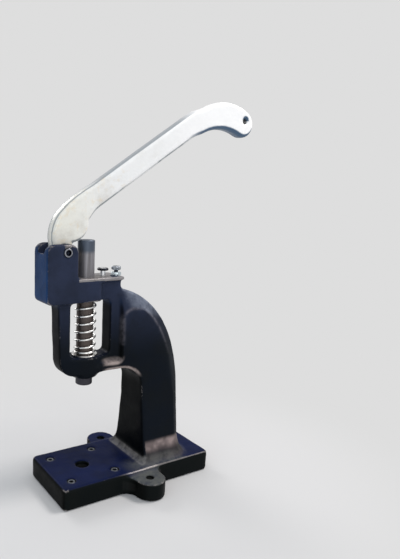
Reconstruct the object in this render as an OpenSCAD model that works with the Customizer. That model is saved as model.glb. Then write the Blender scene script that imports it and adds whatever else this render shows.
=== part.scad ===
// Hand press for snap buttons: a cast C-frame, a sprung ram and a long hand lever.
// Millimetres. The origin is on the ram axis at the underside of the base,
// +X runs back towards the column and +Z up.

/* [Base] */
// Width of the base plate
base_w = 90; // [84:1:110]
// Distance from the ram axis to the front of the base plate
base_front = 45; // [42:1:60]
// Distance from the ram axis to the back of the base plate
base_rear = 155; // [148:1:175]
// Thickness of the base plate
base_h = 25; // [22:1:30]
// Corner radius of the base plate
base_corner_r = 5; // [3:0.5:9]
// Bevel along the top edge of the base plate
base_bevel = 1.5; // [0.5:0.25:3]
// Bore of the socket that takes the lower die
socket_d = 15; // [10:0.5:18]

/* [Ears] */
// Width of the press across both ears
ear_span = 150; // [140:1:170]
// Radius of each ear
ear_r = 18; // [15:0.5:20]
// Thickness of each ear
ear_h = 21; // [16:0.5:24]
// Distance of the ears behind the ram axis
ear_x = 58; // [50:1:66]
// Bolt hole in each ear
ear_hole_d = 9; // [7:0.5:11]
// Blend radius on the front side of each ear
ear_front_blend = 13; // [6:0.5:14]
// Blend radius on the rear side of each ear
ear_rear_blend = 5; // [3:0.5:8]

/* [Die screws] */
// Spacing of the four clamp screws round the die socket
clamp_pitch = 56; // [48:1:62]
// Diameter of each clamp screw
clamp_d = 9; // [7:0.5:11]
// Length of each clamp screw
clamp_len = 14; // [10:0.5:18]
// Depth of the screws below the top of the base
clamp_sink = 0.8; // [0.4:0.1:1.5]
// Width across flats of the hexagon socket
clamp_hex = 4.5; // [3:0.5:5]

/* [Column] */
// Distance from the ram axis to the front face of the column
column_front = 65; // [60:1:72]
// Distance from the ram axis to the back of the column
column_back = 124; // [117:1:128]
// Drop from the throat's ceiling to the narrow waist of the column
waist_drop = 42; // [34:1:50]
// Width of the column at its waist
waist_w = 48; // [42:1:52]
// Width of the column where it meets the base
foot_w = 67; // [60:1:76]
// Reach of the blend between the column and the base
foot_blend = 10; // [6:0.5:12]
// Height of that blend along the sides and the back
foot_h = 26; // [18:1:32]
// Width of the raised cheek of the arch
arch_w = 40; // [34:1:44]
// Width of the rim along the back of the arch
rim_w = 23; // [20:0.5:28]
// Length of the flank that slopes from the cheek to the rim
flank_len = 13; // [9:0.5:16]
// Front boundary of the raised cheek behind the ram axis
arch_front = 40; // [36:1:44]
// Drop from the head's underside to the top of the raised cheek
arch_drop = 11; // [8:1:20]
// Radius of its upper front corner
arch_corner_r = 12; // [8:1:15]

/* [Throat] */
// Drop from the lever's pivot to the throat's ceiling
throat_drop = 135; // [131:1:139]
// Radius of the throat's rear corner
throat_r = 25; // [18:1:28]
// Thickness of the ledge along the throat ceiling
ledge_t = 9; // [6:0.5:12]
// Front end of the ledge behind the ram axis
ledge_start = 8; // [6:0.5:12]

/* [Head] */
// Width of the head
head_w = 36; // [34:1:42]
// Drop from the lever's pivot to the underside of the head
head_drop = 55; // [51:1:59]
// Height of the head from its underside to its flat top
head_h = 26; // [22:1:28]
// Distance from the ram axis to the back of the head's full width
head_back = 14; // [12:1:17]
// Radius of the head's upright rear corners
head_rear_r = 8; // [5:0.5:10]
// Radius of the head's lower front corner
head_low_r = 5; // [3:0.5:9]
// Thickness of the flat shelf behind the ram
shelf_t = 4; // [3:0.5:8]
// Length of the shelf behind the stop screw's axis
shelf_end = 3.5; // [3:0.5:8]
// Thickness of the web and of the two posts beside the spring
web_t = 22; // [20:0.5:26]
// Distance from the ram axis to the front of the front post
post_front = 37.5; // [36:0.5:42]
// Lean of the front post towards its foot
post_lean = 2.5; // [0:0.5:4]
// Radius of the lower front corner of the posts
post_corner_r = 19; // [16:1:22]

/* [Spring window] */
// Distance from the ram axis to the front post
window_front = 22.5; // [20:0.5:24]
// Distance from the ram axis to the rear post
window_rear = 27.5; // [24:0.5:30]
// Thickness of the casting between the throat's ceiling and the window's floor
floor_t = 17; // [14:0.5:20]
// Corner radius of the window
window_r = 4; // [2:0.5:6]
// Stand-out of the ram guide below the throat's ceiling
guide_out = 8; // [5:0.5:11]
// Height of the posts' lower edge above the lower end of the ram guide
post_rise = 4; // [2:0.5:6]
// Diameter of the guide boss at the window's floor
boss_d = 35; // [32:1:38]
// Diameter of the guide boss at its lower end
boss_tip_d = 28; // [25:1:31]
// Depth of the pocket in the head that takes the spring collar
pocket_depth = 14; // [11:0.5:15]

/* [Clevis] */
// Distance from the ram axis to the rear edge of the cheeks
cheek_rear = 17.5; // [16:0.5:19]
// Rise of the cheeks above the pivot
cheek_rise = 8.5; // [6.5:0.5:13]
// Radius of the cheeks' upper corners
cheek_r = 9; // [5:0.5:11]
// Gap between the lever's boss and the floor of the slot
slot_gap = 3; // [1:0.5:9]
// Height of the wall in front of the slot above the slot's floor
slot_wall_h = 15; // [7:0.5:18]
// Thickness of the wall in front of the slot
slot_wall_t = 8; // [5:0.5:9]
// Gap between the lever's boss and that wall
boss_gap = 2.7; // [1:0.1:4]

/* [Ram] */
// Diameter of the ram
ram_d = 19; // [16:0.5:20]
// Stand-out of the ram's nose below its guide at rest
nose_out = 9; // [6:0.5:12]
// Gap between the ram's top edge and the lever's cam at rest
cam_gap = 1.6; // [1:0.1:3]
// Bore in the ram's nose for the upper die
nose_bore_d = 8; // [6:0.5:9]
// Depth of that bore
nose_bore_depth = 20; // [15:1:25]
// Diameter of the die lock screw
nose_screw_d = 4; // [3:0.25:5]
// Height of the die lock screw above the ram's lower end
nose_screw_up = 4.4; // [3.5:0.1:8]
// Bevel at both ends of the ram
ram_bevel = 0.8; // [0.4:0.1:1.5]

/* [Return spring] */
// Gap between the ram and the inside of the return spring
coil_play = 1; // [0.8:0.1:1.6]
// Wire diameter of the return spring
wire_d = 2.4; // [2:0.1:2.8]
// Number of curls
curls = 8; // [6:1:10]
// Width of the rim that the washer under the spring shows outside it
washer_lip = 1.6; // [0.8:0.1:2.2]
// Thickness of that washer
seat_washer_t = 1.8; // [1:0.2:2.5]
// Width of the rim that the spring collar on the ram shows outside the spring
collar_lip = 0.1; // [0.05:0.05:0.3]
// Height of the spring collar
collar_h = 6; // [5:0.5:8]
// Diameter of the pin through collar and ram
collar_pin_d = 3; // [2:0.25:4]

/* [Lever] */
// Thickness of the lever
lever_t = 15; // [12:0.5:16]
// Distance of the lever's pivot in front of the ram axis
pivot_x = 30.3; // [29:0.1:32]
// Height of the lever's pivot above the bench
pivot_h = 277; // [260:1:290]
// Radius of the lever's boss
lever_boss_r = 13; // [11:0.5:14]
// Radius of the cam that presses on the ram
cam_r = 21.5; // [20:0.5:22]
// Distance of the cam's centre behind the pivot
cam_back = 9; // [8:0.25:10]
// Height of the cam's centre above the pivot
cam_up = 30.5; // [30:0.25:31.5]
// Radius of the shoulder in front of the cam
shoulder_r = 40; // [34:1:46]
// Radius of the lever's rounded edges
lever_edge_r = 4; // [2:0.25:5]
// Distance of the grip's centre of bend behind the pivot
grip_back = 217.5; // [200:0.5:235]
// Height of the grip's centre of bend above the pivot
grip_up = 105; // [96:0.5:112]
// Radius of the bend along the grip's upper edge
grip_bend_r = 68; // [62:1:74]
// Width of the grip
grip_w = 32; // [28:0.5:34]
// Diameter of the hole to hang a weight or chain
grip_hole_d = 6; // [4:0.5:7]
// Distance of that hole outside the grip's middle line
grip_hole_out = 4; // [0:0.5:6]
// Wall of the bush in the lever
bush_wall = 1.75; // [1:0.25:3]

/* [Pivot] */
// Diameter of the pivot pin
pin_d = 9.5; // [8:0.25:10]
// Stand-out of the pin at each cheek
pin_proud = 0.8; // [0.4:0.1:2]
// Diameter of the hollow in each end of the pin
pin_hollow_d = 5; // [3:0.5:6]
// Depth of that hollow
pin_hollow_depth = 4; // [2:0.5:6]
// Diameter of the screw that locks the pin
pin_lock_d = 4; // [3:0.25:4.5]

/* [Stop screw and oil plug] */
// Gap between the heads of the oil plug and the stop screw
plug_stop_gap = 3.45; // [1:0.05:4]
// Sideways offset of the stop screw towards the near side
stop_off = 4; // [0:0.5:6]
// Diameter of the stop screw's shank
stop_d = 4.6; // [4:0.2:6]
// Diameter of the stop screw's head
stop_head_d = 10.3; // [8:0.1:11]
// Height of the stop screw's head
stop_head_h = 4; // [3:0.5:6]
// Stand-out of the stop screw above the shelf
stop_out = 10.5; // [9:0.25:11]
// Depth of the stop screw in the shelf
stop_depth = 14; // [10:1:20]
// Width across flats of the lock nut
lock_nut_af = 10; // [8:0.25:11]
// Height of the lock nut
lock_nut_h = 4; // [3:0.5:4.5]
// Distance of the oil plug behind the ram axis
plug_x = 21.5; // [20:0.5:22.5]
// Diameter of the oil plug's head
plug_head_d = 12.8; // [10:0.2:14]
// Height of the oil plug's head
plug_head_h = 2.6; // [2:0.2:5]
// Diameter of the oil plug's shank
plug_d = 6; // [5:0.5:8]
// Gap between the shelf and the plug's head
plug_gap = 6; // [3:0.2:7]
// Depth of the oil plug in the shelf
plug_depth = 10; // [7:0.5:14]

/* [Fits] */
// Radial clearance of sliding and turning parts
run_fit = 0.05; // [0.03:0.01:0.08]
// Radial clearance of parts that stay put
seat_fit = 0.02; // [0.01:0.01:0.04]
// Free play beside the lever
side_play = 0.5; // [0.3:0.1:1]
// Gap between seated faces of parts that move apart
face_gap = 0.3; // [0.2:0.05:0.5]

/* [Hidden] */
$fn = 48;
// Overrun of every cut
over = 2;
// Depth by which joined parts of the casting run into each other
lap = 2;
// Levels of the casting
throat_h = pivot_h - throat_drop;
waist_h = throat_h - waist_drop;
guide_bottom = throat_h - guide_out;
post_bottom = guide_bottom + post_rise;
window_floor = throat_h + floor_t;
head_bottom = pivot_h - head_drop;
head_top = head_bottom + head_h;
arch_top = head_bottom - arch_drop;
cheek_top = pivot_h + cheek_rise;
slot_floor = pivot_h - lever_boss_r - slot_gap;
slot_wall_top = slot_floor + slot_wall_h;
// Places along the press, counted from the ram axis
slot_front = -pivot_x - lever_boss_r - boss_gap;
head_front = slot_wall_t - slot_front;
stop_x = plug_x + plug_head_d / 2 + plug_stop_gap + stop_head_d / 2;
shelf_rear = stop_x + shelf_end;
stop_top = head_top + stop_out;
ear_y = ear_span / 2 - ear_r;
clamp_at = clamp_pitch / 2;
// Bevel round the mouth of the die socket
socket_bevel = 1.25;
// The back of the arch is a superellipse about a point above the waist
arc_cx = arch_front / 2;
arc_a = column_back - arc_cx;
arc_height_share = 0.915;
arc_b = (head_top - waist_h) * arc_height_share;
arc_power = 2.14;
arc_steps = 18;
back_sweep = acos(pow((shelf_rear - arc_cx) / arc_a, arc_power / 2));
cheek_sweep = 60;
// How far in from the back, as a share of the flank, and how wide, as a share of the column
flank_shares = [[1, 1], [0.42, 0.84], [0.11, 0.58], [0, 0.38]];
// Where the ledge starts on the round corner of the throat
ledge_turn = 20;
// Direction in which the guide boss flares into the web
flare_turn = 75;
throat_cx = column_front - throat_r;
throat_cz = throat_h - throat_r;
// Small round on the edges of the casting
edge_r = 3;
// Gap between the spring's ends and their seats
seat_gap = 0.05;
ram_bore_r = ram_d / 2 + run_fit;
coil_d = ram_d + 2 * coil_play + wire_d;
seat_washer_d = coil_d + wire_d + 2 * washer_lip;
collar_d = coil_d + wire_d + 2 * collar_lip;
// Gap round the spring collar in its pocket
pocket_play = 1;
pocket_r = collar_d / 2 + pocket_play;
pocket_top = head_bottom + pocket_depth;
collar_top = pocket_top - face_gap;
collar_bottom = collar_top - collar_h;
washer_top = window_floor + seat_washer_t;
ram_bottom = guide_bottom - nose_out;
nose_screw_z = ram_bottom + nose_screw_up;
// Depth of the two small set screws below the faces that they are screwed into
set_screw_sink = 0.7;
collar_pin_z = collar_bottom + collar_h / 2;
slot_w = lever_t + 2 * side_play;
pin_len = head_w + 2 * pin_proud;
pin_lock_len = cheek_rise - pin_d / 2 - seat_gap - set_screw_sink;
pin_lock_y = (slot_w + head_w) / 4;
bush_d = pin_d + 2 * bush_wall;
cam_x = -pivot_x + cam_back;
cam_z = pivot_h + cam_up;
// The cam meets the front edge of the ram's flat top
ram_top = cam_z - cam_gap - sqrt(pow(cam_r, 2) - pow(cam_x + ram_d / 2 - ram_bevel, 2));
grip_x = -pivot_x + grip_back;
grip_z = pivot_h + grip_up;
// Direction, from its centre of bend, of the grip's round end and of its hole
grip_end = 59.6;
// Directions in which the upper and lower edges of the grip start
grip_start = [121.5, 118];
// Centre and radius of the grip's lower edge as shares of its upper radius
grip_low_back_share = 0.1;
grip_low_r = grip_bend_r * 0.941;
// Height of the shoulder's centre as a share of its radius, and where the shoulder ends
shoulder_share = 0.388;
shoulder_end = 131;
// Stand-out of the shoulder in front of the boss
shoulder_out = 1.3;
// Where the cam's arc starts behind the bar
cam_start = 5;
// Places along the bar as shares of the grip's distance and height from the pivot
bar_top_shares = [[0.019, 0.481], [0.063, 0.552], [0.114, 0.621], [0.153, 0.668],
                  [0.71, 1.434], [0.773, 1.511]];
bar_low_shares = [[0.793, 1.245], [0.757, 1.21], [0.2, 0.447], [0.181, 0.417],
                  [0.165, 0.381], [0.151, 0.343]];
// Sides of the spring's wire
wire_sides = 6;

iron = [0.13, 0.15, 0.20];
bright = [0.78, 0.79, 0.80];
steel = [0.50, 0.49, 0.48];
dark_steel = [0.20, 0.20, 0.23];
painted = [0.86, 0.86, 0.82];
bronze = [0.70, 0.52, 0.30];

// Points along an arc of radius r from angle a to angle b
function arc(cx, cy, r, a, b, n = 8) =
    [for (i = [0 : n]) let (t = a + (b - a) * i / n) [cx + r * cos(t), cy + r * sin(t)]];

// Value at t of a line through the pairs [position, value] of a table
function along(t, table, i = 0) =
    i + 2 >= len(table) || t <= table[i + 1][0]
        ? table[i][1] + (table[i + 1][1] - table[i][1]) * (t - table[i][0])
            / (table[i + 1][0] - table[i][0])
        : along(t, table, i + 1);

// Back of the arch, drawn in by an inset, from the waist upwards to a share of its sweep
function back_curve(inset, sweep) =
    [for (i = [0 : arc_steps]) let (t = sweep * i / arc_steps)
        [arc_cx + (arc_a - inset) * pow(cos(t), 2 / arc_power),
         waist_h + (arc_b - inset) * pow(sin(t), 2 / arc_power)]];

// A flat outline in X and Z, given the thickness w across the press
module plate(w) {
    rotate([90, 0, 0]) linear_extrude(w, center = true) children();
}

// Rectangle with four round corners, exact in outline
module round_rect(x0, y0, x1, y1, r) {
    translate([x0 + r, y0]) square([x1 - x0 - 2 * r, y1 - y0]);
    translate([x0, y0 + r]) square([x1 - x0, y1 - y0 - 2 * r]);
    for (x = [x0 + r, x1 - r], y = [y0 + r, y1 - r]) translate([x, y]) circle(r);
}

// One plan section of the column, a D with its flat face to the front
function column_half(z) =
    let (s = max(z, base_h),
         w = along(s, [[base_h, foot_w / 2], [waist_h, waist_w / 2]]),
         rise = min(s - base_h, foot_blend),
         skirt_rise = min(s - base_h, foot_h),
         skirt = foot_blend * (1 - sqrt(1 - pow(1 - skirt_rise / foot_h, 2))),
         xf = column_front - foot_blend + sqrt(pow(foot_blend, 2) - pow(foot_blend - rise, 2)),
         xb = column_back + skirt,
         wf = w + skirt)
    concat([for (t = [180, 135, 90]) [xf + edge_r * (1 + cos(t)), wf - edge_r * (1 - sin(t))]],
           [for (s = flank_shares) [xb - flank_len * s[0], wf * s[1]]]);

function column_ring(z) =
    let (half = column_half(z))
    concat([for (p = half) [p[0], -p[1]]],
           [for (i = [len(half) - 1 : -1 : 0]) half[i]]);

// Skin over a stack of level rings, each a list of points, at the heights given
module loft(rings, heights) {
    n = len(rings[0]);
    m = len(rings);
    points = [for (j = [0 : m - 1], p = rings[j]) [p[0], p[1], heights[j]]];
    sides = [for (j = [0 : m - 2], i = [0 : n - 1])
        let (a = j * n + i, b = j * n + (i + 1) % n)
        each [[a, a + n, b], [b, a + n, b + n]]];
    polyhedron(points, concat(sides, [[for (i = [0 : n - 1]) i]],
                              [[for (i = [n - 1 : -1 : 0]) (m - 1) * n + i]]));
}

module base_outline(inset) {
    round_rect(-base_front + inset, -base_w / 2 + inset, base_rear - inset, base_w / 2 - inset,
               base_corner_r);
}

module base() {
    linear_extrude(base_h - base_bevel) base_outline(0);
    hull() {
        translate([0, 0, base_h - base_bevel - lap]) linear_extrude(lap) base_outline(0, $fn = 32);
        translate([0, 0, base_h - base_bevel]) linear_extrude(base_bevel)
            base_outline(base_bevel, $fn = 32);
    }
}

// Concave corner between an ear and the side of the base, towards dir along X
module ear_blend(r, dir) {
    translate([ear_x + dir * ear_r, base_w / 2]) mirror([dir < 0 ? 1 : 0, 0]) difference() {
        translate([-lap, -lap]) square(r + lap);
        translate([r, r]) circle(r);
    }
}

module ear() {
    linear_extrude(ear_h) {
        translate([ear_x, ear_y]) circle(ear_r);
        translate([ear_x - ear_r, 0]) square([2 * ear_r, ear_y]);
        ear_blend(ear_front_blend, -1);
        ear_blend(ear_rear_blend, 1);
    }
}

module column() {
    blend = [for (t = [0 : 15 : 90]) base_h + foot_blend * (1 - cos(t))];
    skirt = [for (i = [1 : 4]) base_h + foot_blend + (foot_h - foot_blend) * i / 4];
    heights = concat([base_h - lap], blend, skirt, [waist_h]);
    loft([for (z = heights) column_ring(z)], heights);
}

// The arch above the waist: a rim along the back and a raised cheek on each side
module arch() {
    rim_front = min(arch_front, shelf_rear) - lap;
    hull() {
        plate(rim_w) polygon(concat(back_curve(0, back_sweep),
            [[shelf_rear - lap, waist_h + arc_b * pow(sin(back_sweep), 2 / arc_power)],
             [rim_front, waist_h]]));
        plate(arch_w) polygon(concat(back_curve(flank_len, cheek_sweep),
            arc(arch_front + arch_corner_r, arch_top - arch_corner_r, arch_corner_r, 80, 180),
            [[arch_front, throat_h], [column_front, throat_cz],
             [column_back - flank_len, throat_cz]]));
        translate([0, 0, waist_h - lap]) linear_extrude(lap) polygon(column_ring(waist_h));
    }
}

// Ledge that follows the ceiling of the throat
module ledge() {
    plate(arch_w) polygon(concat(
        arc(throat_cx, throat_cz, throat_r + ledge_t, ledge_turn, 90),
        [[ledge_start + ledge_t / 2, throat_h + ledge_t], [ledge_start, throat_h - lap],
         [throat_cx, throat_h]],
        arc(throat_cx, throat_cz, throat_r, 90, ledge_turn)));
}

module throat() {
    plate(waist_w + 2 * over) {
        translate([throat_cx, throat_cz]) circle(throat_r);
        translate([throat_cx - over, base_h + foot_blend])
            square([throat_r + over, throat_cz - base_h - foot_blend]);
        translate([ledge_start, base_h + foot_blend])
            square([throat_cx - ledge_start, throat_h - base_h - foot_blend]);
    }
}

// Web with the two posts beside the spring, from the throat up to the shelf
module web() {
    plate(web_t) polygon(concat(
        [[-post_front, head_bottom + lap]],
        arc(-post_front + post_lean + post_corner_r, post_bottom + post_corner_r,
            post_corner_r, 180, 270, 12),
        [[ledge_start + lap, post_bottom], [throat_cx - throat_r / 2, throat_h],
         [arch_front + throat_r / 2, throat_h], [arch_front + lap, arch_top],
         [shelf_rear, arch_top], [shelf_rear, head_top - lap], [-cheek_rear, head_top - lap]]));
}

module guide_boss() {
    rotate_extrude() polygon([[0, guide_bottom], [boss_tip_d / 2, guide_bottom],
        [boss_d / 2, guide_bottom + (boss_d - boss_tip_d)], [boss_d / 2, window_floor],
        [0, window_floor]]);
    guide_flare(1);
    guide_flare(-1);
}

// Flat sides that leave the round guide boss and meet the web, towards dir along X
module guide_flare(dir) {
    touch = boss_d / 2 * [cos(flare_turn), sin(flare_turn)];
    run = (touch[1] - web_t / 2) / cos(flare_turn) * sin(flare_turn);
    low = guide_bottom + boss_d - boss_tip_d;
    translate([0, 0, low]) linear_extrude(window_floor - low)
        polygon([for (p = [[0, touch[1]], touch, [touch[0] + run, web_t / 2],
                           [touch[0] + run, -web_t / 2], [touch[0], -touch[1]],
                           [0, -touch[1]]]) [dir * p[0], p[1]]]);
}

module head() {
    plate(head_w) polygon(concat(
        [[0, head_bottom], [0, head_top], [-cheek_rear, head_top]],
        arc(-cheek_rear - cheek_r, cheek_top - cheek_r, cheek_r, 0, 90),
        arc(-head_front + cheek_r, cheek_top - cheek_r, cheek_r, 90, 180),
        arc(-head_front + head_low_r, head_bottom + head_low_r, head_low_r, 180, 270)));
    translate([0, 0, head_bottom]) linear_extrude(head_top - head_bottom)
        round_rect(-cheek_rear, -head_w / 2, head_back, head_w / 2, head_rear_r);
    translate([0, 0, head_top - shelf_t]) linear_extrude(shelf_t)
        round_rect(-cheek_rear, -head_w / 2, shelf_rear, head_w / 2, edge_r);
}

module window() {
    plate(head_w + 2 * over)
        round_rect(-window_front, window_floor, window_rear, head_bottom, window_r);
}

// Slot for the lever, open above and towards the ram
module slot() {
    translate([slot_front, -slot_w / 2, slot_floor])
        cube([-cheek_rear - slot_front + over, slot_w, cheek_top - slot_floor + over]);
    translate([-head_front - over, -slot_w / 2, slot_wall_top])
        cube([slot_wall_t + 2 * over, slot_w, cheek_top - slot_wall_top + over]);
}

// Every bore in the casting
module bores() {
    translate([0, 0, -over]) cylinder(base_h + 2 * over, d = socket_d);
    translate([0, 0, base_h - socket_bevel])
        cylinder(socket_bevel + over, socket_d / 2, socket_d / 2 + socket_bevel + over);
    translate([0, 0, guide_bottom - over]) cylinder(cheek_top - guide_bottom, r = ram_bore_r);
    translate([0, 0, head_bottom - over]) cylinder(pocket_depth + over, r = pocket_r);
    for (x = [-clamp_at, clamp_at], y = [-clamp_at, clamp_at])
        translate([x, y, base_h - clamp_sink - clamp_len - over])
            cylinder(clamp_len + clamp_sink + 2 * over, d = clamp_d + 2 * seat_fit);
    for (side = [-1, 1]) translate([ear_x, side * ear_y, -over])
        cylinder(ear_h + 2 * over, d = ear_hole_d);
    translate([-pivot_x, 0, pivot_h]) rotate([90, 0, 0])
        cylinder(head_w + 2 * over, d = pin_d + 2 * seat_fit, center = true);
    translate([-pivot_x, pin_lock_y, pivot_h])
        cylinder(cheek_top - pivot_h + over, d = pin_lock_d + 2 * seat_fit);
    translate([stop_x, -stop_off, head_top - stop_depth - over])
        cylinder(stop_depth + 2 * over, d = stop_d + 2 * seat_fit);
    translate([plug_x, 0, head_top - plug_depth - over])
        cylinder(plug_depth + 2 * over, d = plug_d + 2 * seat_fit);
}

module frame() {
    color(iron) difference() {
        union() {
            base();
            ear();
            mirror([0, 1, 0]) ear();
            column();
            difference() {
                union() {
                    arch();
                    ledge();
                }
                throat();
            }
            web();
            guide_boss();
            head();
        }
        window();
        slot();
        bores();
    }
}

module clamp_screws() {
    color(bright) for (x = [-clamp_at, clamp_at], y = [-clamp_at, clamp_at])
        translate([x, y, base_h - clamp_sink - clamp_len]) difference() {
            cylinder(clamp_len, d = clamp_d);
            translate([0, 0, clamp_len / 2]) cylinder(clamp_len, d = clamp_hex / cos(30), $fn = 6);
        }
}

module ram() {
    r = ram_d / 2;
    color(steel) difference() {
        rotate_extrude() polygon([[0, ram_bottom], [r - ram_bevel, ram_bottom],
            [r, ram_bottom + ram_bevel], [r, ram_top - ram_bevel], [r - ram_bevel, ram_top],
            [0, ram_top]]);
        translate([0, 0, ram_bottom - over]) cylinder(nose_bore_depth + over, d = nose_bore_d);
        translate([0, 0, nose_screw_z]) rotate([0, 90, 0])
            cylinder(ram_d, d = nose_screw_d + 2 * seat_fit);
        translate([0, 0, collar_pin_z]) rotate([0, 90, 0])
            cylinder(ram_d + over, d = collar_pin_d + 2 * seat_fit, center = true);
    }
}

module nose_screw() {
    length = (ram_d - nose_bore_d) / 2 - 2 * set_screw_sink;
    color(dark_steel) translate([nose_bore_d / 2 + set_screw_sink, 0, nose_screw_z])
        rotate([0, 90, 0]) difference() {
            cylinder(length, d = nose_screw_d);
            translate([0, 0, length / 2]) cylinder(length, d = nose_screw_d / 2, $fn = 6);
        }
}

// Section of the wire: points about p, drawn along its own u and v
function wire_ring(p, u, v) =
    [for (k = [0 : wire_sides - 1]) let (t = 360 * (k + 0.5) / wire_sides)
        p + (wire_d / 2) * (cos(t) * u + sin(t) * v)];

module return_spring() {
    steps = 8 * curls;
    r = coil_d / 2;
    low = washer_top + seat_gap;
    high = collar_bottom - seat_gap;
    rise = high - low - 2 * wire_d;
    lean = atan(rise / curls / (PI * coil_d));
    outward = function (a) [cos(a), sin(a), 0];
    ahead = function (a) [-sin(a), cos(a), 0];
    middle = [for (i = [0 : steps]) let (a = 45 * i)
        [r * cos(a), r * sin(a), low + wire_d + rise * i / steps]];
    across = function (a) cos(lean) * [0, 0, 1] - sin(lean) * ahead(a);
    mitre = function (a) (across(a) - ahead(a)) / (1 + sin(lean));
    rings = concat(
        [wire_ring([r, 0, low], outward(0), -ahead(0)),
         wire_ring(middle[0], outward(0), mitre(0))],
        [for (i = [1 : steps - 1]) wire_ring(middle[i], outward(45 * i), across(45 * i))],
        [wire_ring(middle[steps], outward(0), mitre(0)),
         wire_ring([r, 0, high], outward(0), -ahead(0))]);
    m = len(rings);
    n = wire_sides;
    sides = [for (j = [0 : m - 2], k = [0 : n - 1]) let (a = j * n + k, b = j * n + (k + 1) % n)
        each [[a, b, a + n], [b, b + n, a + n]]];
    gaps = [for (i = [0 : 8]) norm(middle[i + 8] - middle[i]) - wire_d];
    echo(least_gap_between_curls = min(gaps));
    color(bright) polyhedron([for (ring = rings) each ring],
        concat(sides, [[for (k = [n - 1 : -1 : 0]) k]], [[for (k = [0 : n - 1]) (m - 1) * n + k]]));
}

module seat_washer() {
    color(bright) translate([0, 0, window_floor]) difference() {
        cylinder(seat_washer_t, d = seat_washer_d);
        translate([0, 0, -over]) cylinder(seat_washer_t + 2 * over, d = ram_d + 2 * face_gap);
    }
}

module spring_collar() {
    color(dark_steel) translate([0, 0, collar_bottom]) difference() {
        cylinder(collar_h, d = collar_d);
        translate([0, 0, -over]) cylinder(collar_h + 2 * over, d = ram_d + 2 * seat_fit);
        translate([0, 0, collar_h / 2]) rotate([0, 90, 0])
            cylinder(collar_d + over, d = collar_pin_d + 2 * seat_fit, center = true);
    }
}

module collar_pin() {
    color(bright) translate([0, 0, collar_pin_z]) rotate([0, 90, 0])
        cylinder(collar_d - 2 * face_gap, d = collar_pin_d, center = true);
}

// Outline of the lever in X and Z, back along the grip and the bar, then over the shoulder
function lever_outline() =
    let (mid = [-pivot_x, pivot_h],
         reach = [for (s = concat(bar_top_shares, bar_low_shares))
             mid + [s[0] * grip_back, s[1] * grip_up]],
         n = len(bar_top_shares),
         grip = [grip_x, grip_z],
         tip = grip + (grip_bend_r - grip_w / 2) * [cos(grip_end), sin(grip_end)],
         low = grip + [-grip_low_back_share * grip_bend_r, grip_bend_r - grip_w - grip_low_r],
         turn = atan2(tip[1] - low[1], tip[0] - low[0]),
         path = concat([mid, mid - [lever_boss_r, 0]],
             arc(-pivot_x - lever_boss_r - shoulder_out + shoulder_r,
                 pivot_h + shoulder_r * shoulder_share, shoulder_r, 180, shoulder_end),
             [for (i = [0 : n - 1]) reach[i]],
             arc(grip[0], grip[1], grip_bend_r, grip_start[0], grip_end, 12),
             arc(tip[0], tip[1], grip_w / 2, grip_end - 15, turn - 165, 10),
             arc(low[0], low[1], grip_low_r, turn, grip_start[1], 12),
             [for (i = [n : len(reach) - 1]) reach[i]],
             arc(cam_x, cam_z, cam_r, cam_start, -90, 16)))
    [for (i = [len(path) - 1 : -1 : 0]) path[i]];

// A closed outline drawn in by d, every side staying parallel
function drawn_in(path, d) =
    let (n = len(path))
    [for (i = [0 : n - 1])
        let (u = path[i] - path[(i + n - 1) % n], v = path[(i + 1) % n] - path[i],
             a = [-u[1], u[0]] / norm(u), b = [-v[1], v[0]] / norm(v))
        path[i] + d * (a + b) / (1 + a * b)];

// Insets and heights of the steps round both edges of the lever
function edge_steps() =
    let (low = [for (t = [0 : 30 : 90])
        [lever_edge_r * (1 - sin(t)), lever_edge_r * (1 - cos(t)) - lever_t / 2]])
    concat(low, [for (i = [3 : -1 : 0]) [low[i][0], -low[i][1]]]);

// Closed band round a path, with the section given as pairs of inset and height
module band(path, section) {
    rings = [for (s = section) drawn_in(path, s[0])];
    n = len(path);
    m = len(section);
    polyhedron([for (j = [0 : m - 1], p = rings[j]) [p[0], p[1], section[j][1]]],
        [for (j = [0 : m - 1], i = [0 : n - 1])
            let (k = (i + 1) % n, a = j * n, b = (j + 1) % m * n)
            each [[a + i, b + i, a + k], [a + k, b + i, b + k]]]);
}

module lever() {
    steps = edge_steps();
    path = lever_outline();
    depth = lever_edge_r + lap;
    color(painted) difference() {
        union() {
            plate(lever_t) polygon(drawn_in(path, lever_edge_r));
            rotate([90, 0, 0]) band(path, concat(steps, [[depth, lever_t / 2 - lap],
                                                         [depth, lap - lever_t / 2]]));
            translate([-pivot_x, 0, pivot_h]) rotate([90, 0, 0]) rotate_extrude()
                polygon(concat([[0, -lever_t / 2]],
                    [for (s = steps) [lever_boss_r - s[0], s[1]]], [[0, lever_t / 2]]));
        }
        translate([-pivot_x, 0, pivot_h]) rotate([90, 0, 0])
            cylinder(lever_t + over, d = bush_d + 2 * seat_fit, center = true);
        translate([grip_x, 0, grip_z]
                  + (grip_bend_r - grip_w / 2 + grip_hole_out) * [cos(grip_end), 0, sin(grip_end)])
            rotate([90, 0, 0]) cylinder(lever_t + over, d = grip_hole_d, center = true);
    }
}

module lever_bush() {
    color(bronze) translate([-pivot_x, 0, pivot_h]) rotate([90, 0, 0]) difference() {
        cylinder(lever_t, d = bush_d, center = true);
        cylinder(lever_t + over, d = pin_d + 2 * run_fit, center = true);
    }
}

module pivot_pin() {
    color(bright) translate([-pivot_x, 0, pivot_h]) rotate([90, 0, 0]) difference() {
        cylinder(pin_len, d = pin_d, center = true);
        for (side = [0, 1]) mirror([0, 0, side])
            translate([0, 0, pin_len / 2 - pin_hollow_depth])
                cylinder(pin_hollow_depth + over, d = pin_hollow_d);
    }
}

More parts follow.
